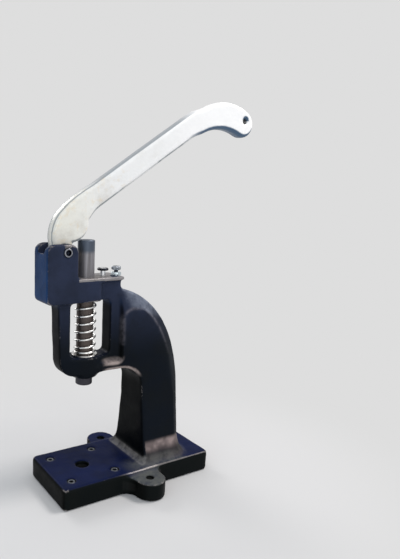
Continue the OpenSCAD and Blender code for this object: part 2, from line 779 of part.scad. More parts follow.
module pivot_lock_screw() {
    color(dark_steel) translate([-pivot_x, pin_lock_y, pivot_h + pin_d / 2 + seat_gap])
        difference() {
            cylinder(pin_lock_len, d = pin_lock_d);
            translate([0, 0, pin_lock_len / 2]) cylinder(pin_lock_len, d = pin_lock_d / 2, $fn = 6);
        }
}

module stop_screw() {
    color(dark_steel) translate([stop_x, -stop_off, 0]) {
        translate([0, 0, head_top - stop_depth])
            cylinder(stop_top - head_top + stop_depth - stop_head_h / 2, d = stop_d);
        translate([0, 0, stop_top - stop_head_h]) cylinder(stop_head_h, d = stop_head_d);
    }
}

module stop_lock_nut() {
    color(steel) translate([stop_x, -stop_off, head_top]) difference() {
        cylinder(lock_nut_h, d = lock_nut_af / cos(30), $fn = 6);
        translate([0, 0, -over]) cylinder(lock_nut_h + 2 * over, d = stop_d + 2 * seat_fit);
    }
}

module oil_plug() {
    color(dark_steel) translate([plug_x, 0, head_top - plug_depth]) {
        cylinder(plug_depth + plug_gap + plug_head_h / 2, d = plug_d);
        translate([0, 0, plug_depth + plug_gap]) cylinder(plug_head_h, d = plug_head_d);
    }
}

frame();
clamp_screws();
ram();
nose_screw();
return_spring();
seat_washer();
spring_collar();
collar_pin();
lever();
lever_bush();
pivot_pin();
pivot_lock_screw();
stop_screw();
stop_lock_nut();
oil_plug();
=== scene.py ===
"""Looks of the hand press for snap buttons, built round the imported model.

A black enamelled casting, an off-white lever, a ground steel ram in its bright return spring,
and the small turned parts. Lengths in the makers of shapes are millimetres, and MM turns them
into metres when a mesh is made. Places in the materials and on the stage are metres.
"""

import math

import bmesh
import bpy
import numpy as np
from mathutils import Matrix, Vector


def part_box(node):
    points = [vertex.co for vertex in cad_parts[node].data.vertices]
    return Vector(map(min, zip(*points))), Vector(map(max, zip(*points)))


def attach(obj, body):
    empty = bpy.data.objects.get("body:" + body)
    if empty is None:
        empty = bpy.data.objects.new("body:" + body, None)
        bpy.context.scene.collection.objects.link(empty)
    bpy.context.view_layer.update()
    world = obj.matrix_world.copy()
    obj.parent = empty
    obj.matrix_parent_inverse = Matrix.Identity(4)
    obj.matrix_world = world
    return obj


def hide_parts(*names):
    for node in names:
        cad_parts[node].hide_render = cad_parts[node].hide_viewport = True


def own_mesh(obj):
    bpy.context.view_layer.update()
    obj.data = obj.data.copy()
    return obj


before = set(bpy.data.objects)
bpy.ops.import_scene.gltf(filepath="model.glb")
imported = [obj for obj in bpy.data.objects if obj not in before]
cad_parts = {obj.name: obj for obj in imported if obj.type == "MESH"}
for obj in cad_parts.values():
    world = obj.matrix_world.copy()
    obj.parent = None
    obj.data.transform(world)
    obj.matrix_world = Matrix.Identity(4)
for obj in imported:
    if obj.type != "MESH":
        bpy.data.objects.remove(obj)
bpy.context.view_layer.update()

import openvdb
from mathutils import Matrix, Vector

MM = 0.001

# The photograph's camera: where it looks, from which side, and where its axis meets the picture
IMAGE_PX = (400, 559)
AXIS_PX = (115.2, 292.0)
FOCAL_PX = 541.9
CAMERA_TARGET = Vector((0.03866, 0.0, 0.22783))
CAMERA_DISTANCE = 0.6204
CAMERA_AZIMUTH = 31.58
CAMERA_ELEVATION = 10.65
CAMERA_ROLL = 1.73
SENSOR_WIDTH = 36.0

# Grey of the backdrop, the light that falls on the object from all round, and the floor
BACKDROP = (0.73, 0.73, 0.73)
SKY = (0.93, 0.96, 1.0)
SKY_STRENGTH = 0.62
FLOOR_TONE = (0.665, 0.665, 0.665)
FLOOR_SIZE = 12.0
FLOOR_FADE = (0.15, 0.42)
STAGE_CENTRE = Vector((0.055, 0.0, 0.20))

# Lamps: direction from the object, distance, width, power and colour
LAMPS = {
    "key": ((0.515, -0.184, 0.837), 1.2, 0.35, 8.0, (1.0, 0.95, 0.92)),
    "back_light": ((-0.16, 0.84, 0.50), 1.3, 0.5, 4.0, (1.0, 0.97, 0.95)),
    "left_fill": ((-1.0, -0.35, 0.35), 1.2, 0.9, 1.2, (0.55, 0.75, 1.0)),
    "front_fill": ((-0.15, -1.0, 0.30), 1.4, 0.9, 4.2, (1.0, 0.995, 0.98)),
}

# Skins of the casting and the lever: voxel, radius of their hollows and of their outer edges,
# and depth of their unevenness
CAST_VOXEL = 1.23
CAST_HOLLOW_R = 2.6
BLOCK_HOLLOW_R = 7.0
CAST_EDGE_R = 1.1
CAST_WAVE = 0.10
LEVER_VOXEL = 0.8
LEVER_HOLLOW_R = 1.6
LEVER_EDGE_R = 3.4
LEVER_WAVE = 0.06

# Running clearance of the ram, clearance of what stays in its seat, and small bevels
BORE_CLEARANCE = 0.05
SEAT_CLEARANCE = 0.02
SMALL_BEVEL = 0.5

# The base: die socket, sunk clamp screws and ears
DIE_SOCKET_R = 7.5
DIE_SOCKET_BEVEL = 1.25
CLAMP_SCREW_R = 4.5
CLAMP_SCREW_SINK = 0.8
EAR_R = 18.0
EAR_HOLE_R = 4.5
EAR_X = 58.0

# The head: half its width, its top, the rear of its cheeks, and the shelf behind the stop screw
HEAD_HALF = 18.0
HEAD_TOP = 252.0
CHEEK_REAR = -17.5
SHELF_BEHIND_STOP = 3.5

# The lever: the hole in its grip, the boss round the pivot and the gap in front of the boss
LEVER_HOLE = (215.54, 430.30)
LEVER_HOLE_R = 3.0
LEVER_BOSS_R = 13.0
LEVER_BOSS_GAP = 2.7

# The arch: centre, reach and height of its back, power of the curve, and the raised cheek
WAIST_H = 100.0
ARCH_CENTRE_X = 20.0
ARCH_REACH = 104.0
ARCH_RISE_SHARE = 0.915
ARCH_RISE = (HEAD_TOP - WAIST_H) * ARCH_RISE_SHARE
ARCH_POWER = 2.14
CHEEK_INSET = 13.0
CHEEK_FRONT = 40.0
CHEEK_TOP = 211.0
CHEEK_CORNER_R = 12.0

# The throat is open from the base to more than this height above it
THROAT_H = 60.0

# Meshes: vertices nearer than SAME_PLACE, in metres, are one, and edges sharper than this many
# degrees stay sharp
SAME_PLACE = 1e-7
SHARP_ANGLE = 35.0

# Colour sockets of a Mix node
COLOUR_A, COLOUR_B, COLOUR_OUT = 6, 7, 2


def mm_box(node):
    """Lowest and highest corner of a CAD node in millimetres."""
    low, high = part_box(node)
    return np.array(low) / MM, np.array(high) / MM


def middle(box):
    """The middle of a box."""
    return (box[0] + box[1]) / 2


def half_width(box):
    """Half the width of a box along X, which is a turned part's radius."""
    return (box[1][0] - box[0][0]) / 2


def under_middle(box):
    """The middle of a box at the height of the ground."""
    return middle(box) * (1, 1, 0)


RAM = mm_box("ram")
PIN = mm_box("pivot_pin")
SPRING = mm_box("return_spring")
WASHER = mm_box("seat_washer")
COLLAR = mm_box("spring_collar")
SCREWS = mm_box("clamp_screws")
STOP = mm_box("stop_screw")
NUT = mm_box("stop_lock_nut")
PLUG = mm_box("oil_plug")
LEVER = mm_box("lever")
CASTING = mm_box("frame")
LOCK = mm_box("pivot_lock_screw")

PIVOT = middle(PIN)
PIN_R = half_width(PIN)
BASE_TOP = SCREWS[1][2] + CLAMP_SCREW_SINK
SHELF_TOP = NUT[0][2]
SHELF_REAR = middle(STOP)[0] + SHELF_BEHIND_STOP
EAR_Y = CASTING[1][1] - EAR_R


def placed(name, data):
    """A new object in the scene."""
    thing = bpy.data.objects.new(name, data)
    bpy.context.scene.collection.objects.link(thing)
    return thing


def smooth(mesh, sharp):
    """Smooth shading, except over edges sharper than an angle in degrees."""
    mesh.shade_smooth()
    mesh.set_sharp_from_angle(angle=math.radians(sharp))


def add_mesh(name, points, faces):
    """A mesh object from an array of points in millimetres and arrays of faces, each as wide as
    its faces have corners."""
    mesh = bpy.data.meshes.new(name)
    corners = np.concatenate([np.asarray(f).ravel() for f in faces]).astype(np.int32)
    sizes = np.concatenate([np.full(len(f), np.asarray(f).shape[1]) for f in faces])
    starts = np.concatenate([[0], np.cumsum(sizes)[:-1]]).astype(np.int32)
    mesh.vertices.add(len(points))
    mesh.vertices.foreach_set("co", (np.asarray(points) * MM).astype(np.float32).ravel())
    mesh.loops.add(len(corners))
    mesh.loops.foreach_set("vertex_index", corners)
    mesh.polygons.add(len(sizes))
    mesh.polygons.foreach_set("loop_start", starts)
    mesh.update(calc_edges=True)
    mesh.validate()
    return placed(name, mesh)


def vertex_rows(mesh, what="co"):
    """Positions of a mesh's vertices in metres, or their normals, one row for each."""
    values = np.empty(len(mesh.vertices) * 3, np.float32)
    mesh.vertices.foreach_get(what, values)
    return values.reshape(-1, 3)


def lay(mesh, label, values):
    """Stores a number for each vertex, under the label by which a material reads it."""
    layer = mesh.attributes.new(label, "FLOAT", "POINT")
    layer.data.foreach_set("value", values.astype(np.float32))


def close_up(piece, sharp=SHARP_ANGLE):
    """Merges doubles, turns the faces outwards and shades smoothly up to an angle of sharp."""
    work = bmesh.new()
    work.from_mesh(piece.data)
    bmesh.ops.remove_doubles(work, verts=work.verts, dist=SAME_PLACE)
    bmesh.ops.recalc_face_normals(work, faces=work.faces)
    work.to_mesh(piece.data)
    work.free()
    smooth(piece.data, sharp)
    return piece


def dress(piece, body, material, node=None):
    """Gives a piece its material and the body that it moves with, and hides the CAD node that it
    stands for.
    """
    piece.data.materials.clear()
    piece.data.materials.append(material)
    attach(piece, body)
    if node:
        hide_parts(node)
    return piece


def ring_faces(rings, sides, closed_rings=False):
    """Quads between ring i and ring i + 1 of a grid with sides points in each ring."""
    i = np.arange(rings if closed_rings else rings - 1)[:, None]
    k = np.arange(sides)[None, :]
    after, beside = (i + 1) % rings, (k + 1) % sides
    return np.stack([i * sides + k, i * sides + beside, after * sides + beside,
                     after * sides + k], -1).reshape(-1, 4)


def end_faces(rings, sides):
    """The two faces that close the first and the last ring of such a grid."""
    first = np.arange(sides)[None, :]
    return [first, (rings - 1) * sides + first]


def turned(name, profile, centre, axis="Z", sides=96, knurl=0.0, closed=False):
    """A turned part. Ring i of the profile is (radius, height, six, knurled): its points lie at
    the radius from the axis, where six is 1 on a hexagon of that half width across flats,
    radius / cos(angle from the nearest flat), and where knurled is 1 on a fluted circle,
    radius * (1 + knurl * cos(flutes * angle)). Closed joins the last ring to the first."""
    flutes = 32
    rows = np.array([tuple(p) + (0.0,) * (4 - len(p)) for p in profile])
    angle = np.arange(sides) * 2 * math.pi / sides
    from_flat = (angle + math.pi / 6) % (math.pi / 3) - math.pi / 6
    hexagon = 1 / np.cos(from_flat)
    flute = 1 + knurl * np.cos(flutes * angle)
    shape = 1 + rows[:, 2:3] * (hexagon - 1) + rows[:, 3:4] * (flute - 1)
    radius = rows[:, 0:1] * shape
    height = np.broadcast_to(rows[:, 1:2], radius.shape)
    a, b = radius * np.cos(angle), radius * np.sin(angle)
    order = {"Z": (a, b, height), "Y": (a, height, b)}[axis]
    points = np.stack(order, -1).reshape(-1, 3) + np.asarray(centre, float)
    ends = [] if closed else end_faces(len(rows), sides)
    return close_up(add_mesh(name, points, [ring_faces(len(rows), sides, closed)] + ends))


def joined(pieces, name):
    """One piece from several meshes."""
    work = bmesh.new()
    for piece in pieces:
        work.from_mesh(piece.data)
    mesh = bpy.data.meshes.new(name)
    work.to_mesh(mesh)
    work.free()
    for piece in pieces:
        bpy.data.objects.remove(piece)
    smooth(mesh, SHARP_ANGLE)
    return placed(name, mesh)


class Nodes:
    """The shader nodes of a material or a world."""

    def __init__(self, owner):
        owner.use_nodes = True
        self.tree = owner.node_tree
        self.tree.nodes.clear()

    def add(self, kind, **settings):
        node = self.tree.nodes.new(kind)
        for key, value in settings.items():
            setattr(node, key, value)
        return node

    def put(self, socket, value):
        if isinstance(value, bpy.types.NodeSocket):
            self.tree.links.new(value, socket)
        elif isinstance(value, (tuple, list)) and len(value) == 3 and socket.type == "RGBA":
            socket.default_value = (*value, 1.0)
        else:
            socket.default_value = value

    def fill(self, node, **sockets):
        """Gives sockets of a node their values or links. An underscore stands for a space."""
        for name, value in sockets.items():
            self.put(node.inputs[name.replace("_", " ")], value)
        return node

    def math(self, operation, a, b):
        node = self.add("ShaderNodeMath", operation=operation)
        self.put(node.inputs[0], a)
        self.put(node.inputs[1], b)
        return node.outputs["Value"]

    def range(self, value, low, high, start=0.0, end=1.0):
        """Value mapped smoothly from low..high to start..end. Low may be the larger one."""
        node = self.add("ShaderNodeMapRange", interpolation_type="SMOOTHSTEP")
        self.fill(node, Value=value, From_Min=low, From_Max=high, To_Min=start, To_Max=end)
        return node.outputs["Result"]

    def shader(self, kind, **sockets):
        return self.fill(self.add(kind), **sockets).outputs[0]

    def seen_directly(self):
        """1 for camera, glossy and transmission rays, 0 for the light that falls on surfaces."""
        path = self.add("ShaderNodeLightPath").outputs
        direct = self.math("MAXIMUM", path["Is Camera Ray"], path["Is Glossy Ray"])
        return self.math("MAXIMUM", direct, path["Is Transmission Ray"])

    def mixed(self, share, a, b, output):
        """Gives out shader a, which turns into shader b as share goes from 0 to 1."""
        node = self.add("ShaderNodeMixShader")
        for socket, value in zip(node.inputs, (share, a, b)):
            self.put(socket, value)
        self.fill(self.add(output), Surface=node.outputs[0])


class Finish(Nodes):
    """One material. Patterns read Object coordinates, which are metres on the part."""

    def __init__(self, name, **fixed):
        self.material = bpy.data.materials.new(name)
        super().__init__(self.material)
        self.principled = self.add("ShaderNodeBsdfPrincipled")
        self.fill(self.add("ShaderNodeOutputMaterial"), Surface=self.principled.outputs["BSDF"])
        coordinates = self.add("ShaderNodeTexCoord")
        self.place = coordinates.outputs["Object"]
        self.facing = coordinates.outputs["Normal"]
        self.set(**fixed)

    def set(self, **sockets):
        self.fill(self.principled, **sockets)
        return self.material

    def stretched(self, scale):
        """Object coordinates stretched by a scale along each axis."""
        node = self.fill(self.add("ShaderNodeMapping"), Vector=self.place, Scale=scale)
        return node.outputs["Vector"]

    def axes(self, vector):
        """The X, Y and Z of a vector."""
        node = self.fill(self.add("ShaderNodeSeparateXYZ"), Vector=vector)
        return [node.outputs[axis] for axis in "XYZ"]

    def attribute(self, name):
        return self.add("ShaderNodeAttribute", attribute_name=name).outputs["Fac"]

    def noise(self, scale, detail=3.0, roughness=0.55, place=None):
        node = self.fill(self.add("ShaderNodeTexNoise"), Vector=place or self.place, Scale=scale,
                         Detail=detail, Roughness=roughness)
        return node.outputs["Fac"]

    def times(self, *values):
        """Product of several values, such as masks."""
        total = values[0]
        for value in values[1:]:
            total = self.math("MULTIPLY", total, value)
        return total

    def between(self, value, rise, fall):
        """A mask that is 1 between two slopes, each given as its foot and its top."""
        return self.times(self.range(value, *rise), self.range(value, *fall))

    def rough(self, pattern, start, end):
        """Roughness that goes from start to end as a pattern of noise gets lighter."""
        return self.range(pattern, 0.3, 0.7, start, end)

    def blend(self, share, a, b):
        """Colour a turning into colour b as share goes from 0 to 1."""
        node = self.add("ShaderNodeMix", data_type="RGBA")
        self.put(node.inputs["Factor"], share)
        self.put(node.inputs[COLOUR_A], a)
        self.put(node.inputs[COLOUR_B], b)
        return node.outputs[COLOUR_OUT]

    def over(self, colour, tone, share, *masks):
        """A tone laid over a colour: by that share where every mask is 1, not where one is 0."""
        return self.blend(self.times(*masks, share), colour, tone)

    def bump(self, height, distance, strength, under=None):
        node = self.fill(self.add("ShaderNodeBump"), Height=height, Distance=distance,
                         Strength=strength)
        if under is not None:
            self.fill(node, Normal=under)
        return node.outputs["Normal"]


class CastEnamel(Finish):
    """Black enamel over a sand casting. Each layer goes over the colour that it is given. The
    two numbers of a mask are where it starts and where it is full: a place on the part in
    metres, a part of the normal or the lightness of a pattern."""

    # Colours of the paint and of its layers
    BLACK, SOOT, SHADE = (0.0056, 0.0080, 0.0125), (0.0050, 0.0068, 0.0070), (0.0, 0.0, 0.0)
    SLATE, BLUE, NAVY = (0.0280, 0.0360, 0.0670), (0.018, 0.050, 0.138), (0.0048, 0.0102, 0.0500)
    HAZE, DUST, EAR_DUST = (0.008, 0.009, 0.008), (0.085, 0.090, 0.088), (0.100, 0.106, 0.100)
    POLISHED, SCUFFED, GREASE = (0.33, 0.262, 0.252), (0.22, 0.21, 0.205), (0.20, 0.19, 0.185)
    LEDGE, RIDGE, CROWN = (0.36, 0.30, 0.28), (0.20, 0.19, 0.22), (0.26, 0.29, 0.36)
    IRON = (0.26, 0.24, 0.235)

    def __init__(self):
        super().__init__("enamelled_iron", Specular_IOR_Level=0.03)
        self.back, self.across, self.height = self.axes(self.place)
        self.ahead, _, self.slope = self.axes(self.facing)
        self.edge = self.attribute("edge")
        self.grain = self.noise(420.0, 3.0, 0.65)
        self.patch = self.noise(95.0, 4.0, 0.65)

    def paint(self):
        """Slate at the head and black lower down, a painted light and shade, and a little darker
        still at the bottom. Painted shade on the faces that look forward, with a painted blue light
        on those of the head, and navy on the faces that look up, a painted reflection of the sky.
        """
        height = self.height
        front = self.range(self.ahead, -0.5, -0.98)
        # Painted light and shade: slate at the head, black lower down
        colour = self.blend(self.range(height, 0.150, 0.245), self.BLACK, self.SLATE)
        # A little darker towards the bottom
        colour = self.blend(self.range(height, 0.030, 0.020), colour, self.SOOT)
        # Painted shade on the faces that look forward, and a painted blue light on those of the
        # head
        colour = self.over(colour, self.SHADE, 0.8, front)
        colour = self.blend(self.times(front, self.range(height, 0.212, 0.230)), colour, self.BLUE)
        # Navy on the faces that look up, fullest low down: a painted reflection of the sky
        upward = self.times(self.range(self.slope, 0.55, 0.97),
                            self.range(height, 0.150, 0.100, 0.25, 1.0))
        colour = self.blend(upward, colour, self.NAVY)
        cloud = self.range(self.noise(34.0, 4.0, 0.6), 0.35, 0.70, 0.0, 0.35)
        return self.blend(cloud, colour, self.HAZE)

    def dust(self, colour):
        """Grey on the base beside the column and on the near ear: partly dust, partly a painted
        sheen.
        """
        # Grey on the base on the near side: dust with a painted sheen
        colour = self.over(colour, self.DUST, 0.75,
                           self.between(self.back, (0.030, 0.060), (0.128, 0.100)),
                           self.range(self.height, 0.040, 0.032),
                           self.range(self.across, -0.012, -0.030),
                           self.range(self.patch, 0.25, 0.60, 0.25, 1.0),
                           self.range(self.slope, 0.25, 0.6))
        # Grey on the near ear's top: dust with a painted sheen
        return self.over(colour, self.EAR_DUST, 0.85, self.range(self.across, -0.046, -0.050),
                         self.range(self.height, 0.018, 0.020), self.range(self.slope, 0.5, 0.9),
                         self.range(self.patch, 0.35, 0.60, 0.45, 1.0))

    def foot(self, colour):
        """The foot: a painted highlight along the top of its skirt on the near side, and another
        along the fillet in front.
        """
        front = self.range(self.ahead, -0.15, -0.45)
        # Painted highlight along the top of the skirt, on the near side
        colour = self.over(colour, self.POLISHED, 0.9,
                           self.between(self.slope, (0.03, 0.16), (0.985, 0.80)),
                           self.between(self.height, (0.0255, 0.0270), (0.0520, 0.0455)),
                           self.range(self.height, 0.0340, 0.0440, 0.10, 1.0),
                           self.range(self.noise(60.0, 2.0), 0.35, 0.60, 0.50, 1.0),
                           self.range(self.across, 0.030, 0.0),
                           self.math("SUBTRACT", 1.0, front))
        # Painted highlight along the fillet in front of the column
        return self.over(colour, self.SCUFFED, 0.60, front,
                         self.between(self.slope, (0.20, 0.50), (0.99, 0.90)),
                         self.between(self.height, (0.0250, 0.0262), (0.0360, 0.0320)),
                         self.range(self.patch, 0.30, 0.65, 0.35, 1.0),
                         self.range(self.back, 0.030, 0.045))

    def arch(self, colour):
        """Painted highlights: on the ledge over the throat, along the cheeks' outer edges and on
        the crown of the arch.
        """
        rounded = self.math("MAXIMUM", self.range(self.edge, 0.10, 0.45),
                            self.range(self.slope, 0.12, 0.50))
        # Painted highlight on the ledge's rounded top, on the near side
        colour = self.over(colour, self.LEDGE, 0.9,
                           self.between(self.height, (0.128, 0.138), (0.158, 0.150)),
                           self.between(self.back, (0.012, 0.020), (0.092, 0.070)),
                           self.range(self.across, -0.004, -0.016), rounded,
                           self.range(self.patch, 0.30, 0.60, 0.45, 1.0))
        # Painted highlight along the raised cheek's outer edge
        colour = self.over(colour, self.RIDGE, 0.42, self.attribute("ridge"),
                           self.range(self.patch, 0.30, 0.62, 0.25, 1.0))
        # Painted highlight on the crown of the arch
        return self.over(colour, self.CROWN, 0.70, self.range(self.slope, 0.25, 0.55),
                         self.between(self.height, (0.190, 0.208), (0.246, 0.236)),
                         self.range(self.back, 0.038, 0.044),
                         self.range(self.patch, 0.30, 0.60, 0.4, 1.0))

    def worn(self):
        """Where the enamel is rubbed off: edges, and the rim of the base on the near side."""
        rubbed = self.range(self.math("ADD", self.edge, self.times(self.grain, 0.55)), 0.88, 1.12)
        rim = self.times(self.between(self.height, (0.0232, 0.0240), (0.0280, 0.0262)),
                         self.range(self.back, 0.015, 0.060),
                         self.range(self.across, -0.0428, -0.0440),
                         self.range(self.grain, 0.30, 0.55, 0.6, 1.0))
        return self.math("MAXIMUM", rubbed, rim)

    def made(self):
        worn = self.worn()
        colour = self.arch(self.foot(self.dust(self.paint())))
        colour = self.over(colour, self.IRON, 0.75, worn)
        # Lighter in the hollows of the lower parts: grease with a painted sheen
        colour = self.over(colour, self.GREASE, 0.30,
                           self.range(self.attribute("hollow"), 0.06, 0.45),
                           self.range(self.height, 0.060, 0.035))
        lumps = self.bump(self.noise(140.0, 3.0, 0.5), 0.0010, 0.16)
        sand = self.bump(self.noise(900.0, 4.0, 0.6), 0.00022, 0.30, lumps)
        return self.set(Base_Color=colour, Roughness=self.rough(self.noise(75.0), 0.30, 0.44),
                        Normal=sand, Metallic=self.times(worn, 0.5))


class LeverEnamel(Finish):
    """Off-white enamel on the forged lever, laid in layers as CastEnamel is."""

    CREAM, WHITE, ROOT = (0.88, 0.885, 0.88), (0.985, 0.985, 0.985), (0.82, 0.81, 0.735)
    STAIN, RUST, CHIPPED = (0.58, 0.55, 0.49), (0.78, 0.66, 0.48), (0.36, 0.36, 0.36)
    GRIME, GRIP, UNDERSIDE = (0.170, 0.205, 0.235), (0.002, 0.058, 0.140), (0.22, 0.25, 0.27)
    HOLE = (0.055, 0.060, 0.062)

    def __init__(self):
        super().__init__("lever_enamel", Specular_IOR_Level=0.45, Coat_Weight=0.25,
                         Coat_Roughness=0.18)
        self.along, _, self.height = self.axes(self.place)
        self.smear = self.noise(26.0, 5.0, 0.65)
        self.fine = self.noise(230.0, 4.0, 0.7)

    def paint(self):
        """Whiter towards the grip, with faint grey and rusty stains at the root."""
        along = self.along
        colour = self.blend(self.range(along, 0.06, 0.17), self.CREAM, self.WHITE)
        colour = self.blend(self.range(along, 0.030, -0.035), colour, self.ROOT)
        stain = self.times(self.range(self.smear, 0.50, 0.78),
                           self.range(along, 0.12, -0.03, 0.15, 0.8))
        colour = self.blend(stain, colour, self.STAIN)
        return self.over(colour, self.RUST, 0.45,
                         self.range(self.noise(120.0, 4.0, 0.6), 0.52, 0.68),
                         self.range(along, 0.085, 0.0))

    def grime(self, colour):
        """Painted shade on the rounded upper edges, up to the grip, and between them at the root a
        strip left without it."""
        nx, ny, nz = self.axes(self.facing)
        strip = self.times(self.between(ny, (-0.50, -0.25), (0.12, -0.05)),
                           self.range(self.height, 0.360, 0.335))
        # Painted shade along the rounded upper edge
        return self.over(colour, self.GRIME, 0.80, self.range(ny, -0.74, -0.54),
                         self.range(self.math("SUBTRACT", nz, self.times(nx, 0.7)), 0.10, 0.30),
                         self.math("SUBTRACT", 1.0, strip),
                         self.range(self.along, 0.150, 0.110))

    def underside(self, colour):
        """Painted shade on the underside: blue under the grip and patchy grey along the bar, and
        dark in the hole.
        """
        nx, _, nz = self.axes(self.facing)
        # Painted shade under the grip
        colour = self.over(colour, self.GRIP, 0.96, self.range(nz, -0.02, -0.22),
                           self.range(self.along, 0.120, 0.150), self.range(nx, 0.80, 0.45))
        # Patchy painted shade along the bar's underside
        patchy = self.times(self.range(nz, -0.20, -0.45),
                            self.range(self.smear, 0.42, 0.60, 0.25, 0.9),
                            self.range(self.along, 0.150, 0.120))
        colour = self.blend(patchy, colour, self.UNDERSIDE)
        # Painted shade in the hole
        return self.over(colour, self.HOLE, 0.75, self.attribute("hole"))

    def made(self):
        chip = self.range(self.math("ADD", self.times(self.attribute("edge"), 0.6),
                                    self.times(self.fine, 0.75)), 0.83, 0.95)
        colour = self.over(self.paint(), self.CHIPPED, 0.7, chip)
        colour = self.underside(self.grime(colour))
        skin = self.bump(self.noise(320.0), 0.00025, 0.35)
        skin = self.bump(self.noise(60.0, 2.0), 0.0012, 0.25, skin)
        return self.set(Base_Color=colour, Roughness=self.rough(self.fine, 0.28, 0.42),
                        Normal=skin, Metallic=self.times(chip, 0.5))


def machined_iron():
    """Milled cast iron: warm grey with fine parallel tool marks and a few oil stains."""
    grey, oily = (0.29, 0.28, 0.29), (0.20, 0.185, 0.18)
    f = Finish("machined_iron", Metallic=0.85)
    marks = f.noise(1.0, 2.0, 0.5, f.stretched((2600.0, 60.0, 60.0)))
    stain = f.noise(70.0, 4.0, 0.6)
    return f.set(Base_Color=f.blend(f.range(stain, 0.35, 0.75), grey, oily),
                 Roughness=f.rough(marks, 0.50, 0.62), Normal=f.bump(marks, 0.00004, 0.6))


def ground_steel():
    """Ram steel: ground round its axis, oily brown in the middle, and darker above the shelf, a
    painted shadow of the lever.
    """
    light, dark, blacked = (0.270, 0.265, 0.285), (0.170, 0.165, 0.175), (0.085, 0.105, 0.140)
    oily, nose = (0.095, 0.078, 0.072), (0.045, 0.045, 0.055)
    f = Finish("ground_steel", Metallic=0.72)
    _, _, height = f.axes(f.place)
    rings = f.noise(1.0, 3.0, 0.6, f.stretched((25.0, 25.0, 3200.0)))
    streak = f.noise(1.0, 3.0, 0.6, f.stretched((420.0, 420.0, 14.0)))
    colour = f.blend(f.range(streak, 0.35, 0.7), light, dark)
    # Painted shadow of the lever on the ram's top, above the shelf
    colour = f.blend(f.range(height, 0.2725, 0.2785), colour, blacked)
    colour = f.blend(f.range(height, 0.228, 0.220), colour, oily)
    colour = f.blend(f.range(height, 0.150, 0.140), colour, nose)
    return f.set(Base_Color=colour, Roughness=f.rough(streak, 0.42, 0.56),
                 Normal=f.bump(rings, 0.00003, 0.6))


def bright_steel(name, tone, rough, stain=0.35):
    """Plated or polished steel with faint stains and fine scratches."""
    f = Finish(name, Metallic=1.0)
    cloud = f.noise(160.0, 4.0, 0.6)
    scratch = f.noise(1.0, 3.0, 0.6, f.stretched((900.0, 900.0, 2600.0)))
    dark = tuple(v * (1 - stain) for v in tone)
    return f.set(Base_Color=f.blend(f.range(cloud, 0.40, 0.75), tone, dark),
                 Roughness=f.rough(scratch, rough, rough + 0.12),
                 Normal=f.bump(scratch, 0.00003, 0.5))


def ringed_steel(name, centre, across, inner_r, inner, outer):
    """A round part in two tones: one inside a radius from its axis, which goes through the
    centre, and the other outside it. Across names the two directions square to the axis."""
    f = Finish(name, Metallic=1.0)
    places = dict(zip("XYZ", zip(f.axes(f.place), centre)))
    squares = []
    for axis in across:
        place, zero = places[axis]
        offset = f.math("SUBTRACT", place, zero * MM)
        squares.append(f.times(offset, offset))
    away = f.math("POWER", f.math("ADD", *squares), 0.5)
    cloud = f.noise(260.0, 4.0, 0.6)
    dull = tuple(v * 0.55 for v in outer)
    colour = f.blend(f.range(cloud, 0.4, 0.75), outer, dull)
    soft = 0.25
    colour = f.blend(f.range(away, (inner_r + soft) * MM, (inner_r - soft) * MM), colour, inner)
    return f.set(Base_Color=colour, Roughness=f.rough(cloud, 0.30, 0.42),
                 Normal=f.bump(cloud, 0.00004, 0.5))


def blacked_steel():
    """Oil-blacked steel, rubbed brighter in places."""
    black, rubbed = (0.022, 0.024, 0.032), (0.16, 0.17, 0.19)
    f = Finish("blacked_steel", Metallic=0.7)
    rub = f.noise(260.0, 4.0, 0.65)
    return f.set(Base_Color=f.blend(f.range(rub, 0.55, 0.80), black, rubbed),
                 Roughness=f.rough(rub, 0.42, 0.30), Normal=f.bump(f.noise(700.0), 0.00006, 0.5))


def bush_bronze():
    """Plain bearing bronze with turned grooves."""
    light, dark = (0.55, 0.37, 0.17), (0.34, 0.22, 0.11)
    f = Finish("bush_bronze", Metallic=1.0)
    turning = f.noise(1.0, 2.0, 0.5, f.stretched((60.0, 2400.0, 60.0)))
    return f.set(Base_Color=f.blend(f.range(f.noise(180.0), 0.35, 0.7), light, dark),
                 Roughness=f.rough(turning, 0.30, 0.45), Normal=f.bump(turning, 0.00003, 0.5))


def level_set(points, faces, voxel, reach):
    """Distance to a closed surface on a grid of voxels, exact up to reach, negative inside."""
    kind = {3: "triangles", 4: "quads"}[faces.shape[1]]
    return openvdb.FloatGrid.createLevelSetFromPolygons(
        points, transform=openvdb.createLinearTransform(voxelSize=voxel),
        halfWidth=reach / voxel, **{kind: faces})


def softened(points, triangles, voxel, hollow_r, edge_r):
    """A solid whose inner corners have radius hollow_r, by growing and shrinking it, and whose
    outer edges have radius edge_r, by shrinking and growing it. The distance is measured again
    after each step."""
    spare = 3 * voxel
    reach = max(hollow_r, edge_r) + spare
    grid = level_set(points, triangles, voxel, reach)
    for by in (hollow_r, -hollow_r, -edge_r, edge_r):
        grid = level_set(*grid.convertToQuads(isovalue=by), voxel, reach)
    return grid


def node_surface(node):
    """Points in millimetres and triangles of a CAD node's mesh."""
    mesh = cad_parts[node].data
    mesh.calc_loop_triangles()
    corners = np.empty(len(mesh.loop_triangles) * 3, np.int32)
    mesh.loop_triangles.foreach_get("vertices", corners)
    return vertex_rows(mesh) / np.float32(MM), corners.reshape(-1, 3)


